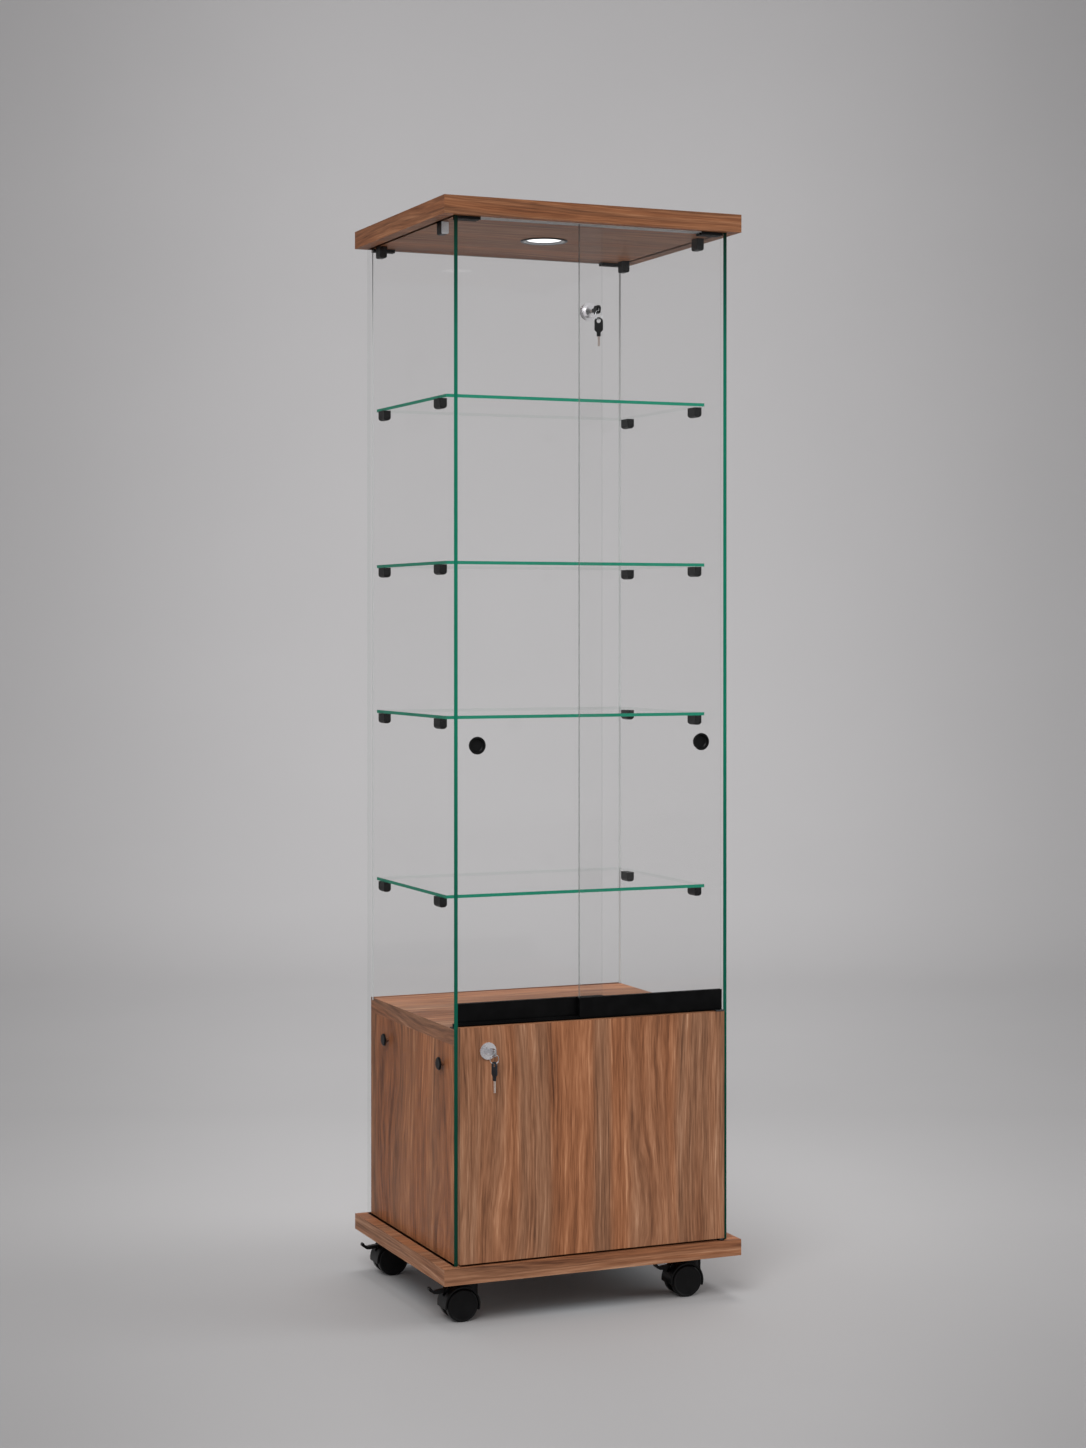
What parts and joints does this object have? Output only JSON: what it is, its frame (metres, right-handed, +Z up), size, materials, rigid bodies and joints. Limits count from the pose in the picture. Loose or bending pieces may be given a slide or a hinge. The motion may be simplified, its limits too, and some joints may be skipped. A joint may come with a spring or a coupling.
{
  "type": "glass display tower on casters",
  "caption": "Glass display tower on casters with glass shelves, sliding lockable glass doors, a top spotlight and a hinged walnut cabinet below.",
  "frame": {"origin": "on the floor under the wheels, under the middle of the whole bounding box", "axes": "+Z up, +X to the case's right seen from the front, -Y is the front with the sliding doors"},
  "size_m": [0.504, 0.4384, 1.705],
  "materials": {
    "walnut": "satin walnut-grain laminate with matching edge band",
    "glass": "clear float glass with polished green edges",
    "aluminium": "satin anodised",
    "lamp_body": "bright reflector ring in a dark bezel",
    "lamp_lens": "lit frosted lens",
    "steel": "zinc plated",
    "chrome": "polished",
    "key_black": "moulded head on a nickel-plated blade",
    "wheel_black": "smooth moulded twin wheel",
    "black_plastic": "black moulding"
  },
  "bodies": {
    "case": {"top_board": "walnut", "base_board": "walnut", "display_floor": "walnut", "cabinet_left_side": "walnut", "cabinet_right_side": "walnut", "cabinet_back": "walnut", "left_glass": "glass", "right_glass": "glass", "back_glass": "glass", "shelf_1": "glass", "shelf_2": "glass", "shelf_3": "glass", "shelf_4": "glass", "shelf_supports": "black_plastic", "top_brackets": "black_plastic", "top_corner_blocks": "black_plastic", "glass_caps": "black_plastic", "top_channel": "aluminium", "bottom_track": "black_plastic", "lamp_housing": "lamp_body", "lamp_lens": "lamp_lens", "pivot_bracket": "steel", "pivot_bush": "black_plastic", "caster_plates": "black_plastic"},
    "outer_door": {"outer_pane": "glass", "outer_rail": "black_plastic", "outer_pull": "black_plastic", "upper_lock_barrel": "chrome"},
    "inner_door": {"inner_pane": "glass", "inner_rail": "black_plastic", "inner_pull": "black_plastic"},
    "cabinet_door": {"cabinet_door": "walnut", "pivot_pins": "steel", "lower_lock_barrel": "chrome"},
    "upper_plug": {"upper_lock_plug": "chrome", "upper_key": "key_black"},
    "upper_bolt": {"upper_lock_bolt": "steel"},
    "upper_ring": {"upper_key_ring": "steel", "upper_spare_key": "key_black"},
    "lower_plug": {"lower_lock_plug": "chrome", "lower_lock_cam": "steel", "lower_key": "key_black"},
    "lower_ring": {"lower_key_ring": "steel", "lower_spare_key": "key_black"},
    "outer_roller_left": {"outer_roller_left": "steel"},
    "outer_roller_right": {"outer_roller_right": "steel"},
    "inner_roller_left": {"inner_roller_left": "steel"},
    "inner_roller_right": {"inner_roller_right": "steel"},
    "front_left_swivel": {"front_left_hood": "black_plastic"},
    "front_left_wheels": {"front_left_wheels": "wheel_black"},
    "front_left_lever": {"front_left_brake": "black_plastic"},
    "front_right_swivel": {"front_right_hood": "black_plastic"},
    "front_right_wheels": {"front_right_wheels": "wheel_black"},
    "front_right_lever": {"front_right_brake": "black_plastic"},
    "rear_left_swivel": {"rear_left_hood": "black_plastic"},
    "rear_left_wheels": {"rear_left_wheels": "wheel_black"},
    "rear_left_lever": {"rear_left_brake": "black_plastic"},
    "rear_right_swivel": {"rear_right_hood": "black_plastic"},
    "rear_right_wheels": {"rear_right_wheels": "wheel_black"},
    "rear_right_lever": {"rear_right_brake": "black_plastic"}
  },
  "joints": [
    {"name": "outer_slide", "type": "slide", "parent": "case", "child": "outer_door", "axis": [1, 0, 0], "range_m": [-0.195, 0]},
    {"name": "inner_slide", "type": "slide", "parent": "case", "child": "inner_door", "axis": [-1, 0, 0], "range_m": [-0.195, 0]},
    {"name": "cabinet_hinge", "type": "hinge", "parent": "case", "child": "cabinet_door", "pos_m": [0.2185, -0.1818, 0.275], "axis": [0, 0, -1], "range_deg": [-105, 0]},
    {"name": "outer_roller_left_spin", "type": "hinge", "parent": "outer_door", "child": "outer_roller_left", "pos_m": [0.0105, -0.1733, 0.4637], "axis": [0, 1, 0], "range_deg": [-2482.82, 0]},
    {"name": "outer_roller_right_spin", "type": "hinge", "parent": "outer_door", "child": "outer_roller_right", "pos_m": [0.1905, -0.1733, 0.4637], "axis": [0, 1, 0], "range_deg": [-2482.82, 0]},
    {"name": "inner_roller_left_spin", "type": "hinge", "parent": "inner_door", "child": "inner_roller_left", "pos_m": [-0.1905, -0.1633, 0.4637], "axis": [0, -1, 0], "range_deg": [-2482.82, 0]},
    {"name": "inner_roller_right_spin", "type": "hinge", "parent": "inner_door", "child": "inner_roller_right", "pos_m": [-0.0105, -0.1633, 0.4637], "axis": [0, -1, 0], "range_deg": [-2482.82, 0]},
    {"name": "upper_lock_turn", "type": "hinge", "parent": "outer_door", "child": "upper_plug", "pos_m": [-0.0055, -0.1758, 1.542], "axis": [0, -1, 0], "range_deg": [0, 90]},
    {"name": "upper_bolt_slide", "type": "slide", "parent": "outer_door", "child": "upper_bolt", "axis": [0, 1, 0], "range_m": [0, 0.0054]},
    {"name": "upper_ring_swing", "type": "hinge", "parent": "upper_plug", "child": "upper_ring", "pos_m": [-0.0055, -0.211, 1.542], "axis": [-0.342, 0.9397, 0], "range_deg": [-15, 15]},
    {"name": "lower_lock_turn", "type": "hinge", "parent": "cabinet_door", "child": "lower_plug", "pos_m": [-0.178, -0.1758, 0.4165], "axis": [0, -1, 0], "range_deg": [0, 90]},
    {"name": "lower_ring_swing", "type": "hinge", "parent": "lower_plug", "child": "lower_ring", "pos_m": [-0.178, -0.2126, 0.4165], "axis": [0, 1, 0], "range_deg": [-15, 15]},
    {"name": "front_left_swivel_turn", "type": "hinge", "parent": "case", "child": "front_left_swivel", "pos_m": [-0.19, -0.1318, 0.055], "axis": [0, 0, 1], "continuous": true},
    {"name": "front_left_wheels_spin", "type": "hinge", "parent": "front_left_swivel", "child": "front_left_wheels", "pos_m": [-0.204, -0.1318, 0.025], "axis": [0, 1, 0], "continuous": true},
    {"name": "front_left_brake_press", "type": "hinge", "parent": "front_left_swivel", "child": "front_left_lever", "pos_m": [-0.224, -0.1318, 0.047], "axis": [0, -1, 0], "range_deg": [0, 16]},
    {"name": "front_right_swivel_turn", "type": "hinge", "parent": "case", "child": "front_right_swivel", "pos_m": [0.19, -0.1318, 0.055], "axis": [0, 0, 1], "continuous": true},
    {"name": "front_right_wheels_spin", "type": "hinge", "parent": "front_right_swivel", "child": "front_right_wheels", "pos_m": [0.176, -0.1318, 0.025], "axis": [0, 1, 0], "continuous": true},
    {"name": "front_right_brake_press", "type": "hinge", "parent": "front_right_swivel", "child": "front_right_lever", "pos_m": [0.156, -0.1318, 0.047], "axis": [0, -1, 0], "range_deg": [0, 16]},
    {"name": "rear_left_swivel_turn", "type": "hinge", "parent": "case", "child": "rear_left_swivel", "pos_m": [-0.19, 0.1772, 0.055], "axis": [0, 0, 1], "continuous": true},
    {"name": "rear_left_wheels_spin", "type": "hinge", "parent": "rear_left_swivel", "child": "rear_left_wheels", "pos_m": [-0.204, 0.1772, 0.025], "axis": [0, 1, 0], "continuous": true},
    {"name": "rear_left_brake_press", "type": "hinge", "parent": "rear_left_swivel", "child": "rear_left_lever", "pos_m": [-0.224, 0.1772, 0.047], "axis": [0, -1, 0], "range_deg": [0, 16]},
    {"name": "rear_right_swivel_turn", "type": "hinge", "parent": "case", "child": "rear_right_swivel", "pos_m": [0.19, 0.1772, 0.055], "axis": [0, 0, 1], "continuous": true},
    {"name": "rear_right_wheels_spin", "type": "hinge", "parent": "rear_right_swivel", "child": "rear_right_wheels", "pos_m": [0.176, 0.1772, 0.025], "axis": [0, 1, 0], "continuous": true},
    {"name": "rear_right_brake_press", "type": "hinge", "parent": "rear_right_swivel", "child": "rear_right_lever", "pos_m": [0.156, 0.1772, 0.047], "axis": [0, -1, 0], "range_deg": [0, 16]}
  ],
  "couplings": [
    {"joint": "outer_roller_left_spin", "follows": "outer_slide", "rad_per_m": 222.22},
    {"joint": "outer_roller_right_spin", "follows": "outer_slide", "rad_per_m": 222.22},
    {"joint": "inner_roller_left_spin", "follows": "inner_slide", "rad_per_m": 222.22},
    {"joint": "inner_roller_right_spin", "follows": "inner_slide", "rad_per_m": 222.22},
    {"joint": "upper_bolt_slide", "follows": "upper_lock_turn", "m_per_rad": 0.0034377}
  ]
}
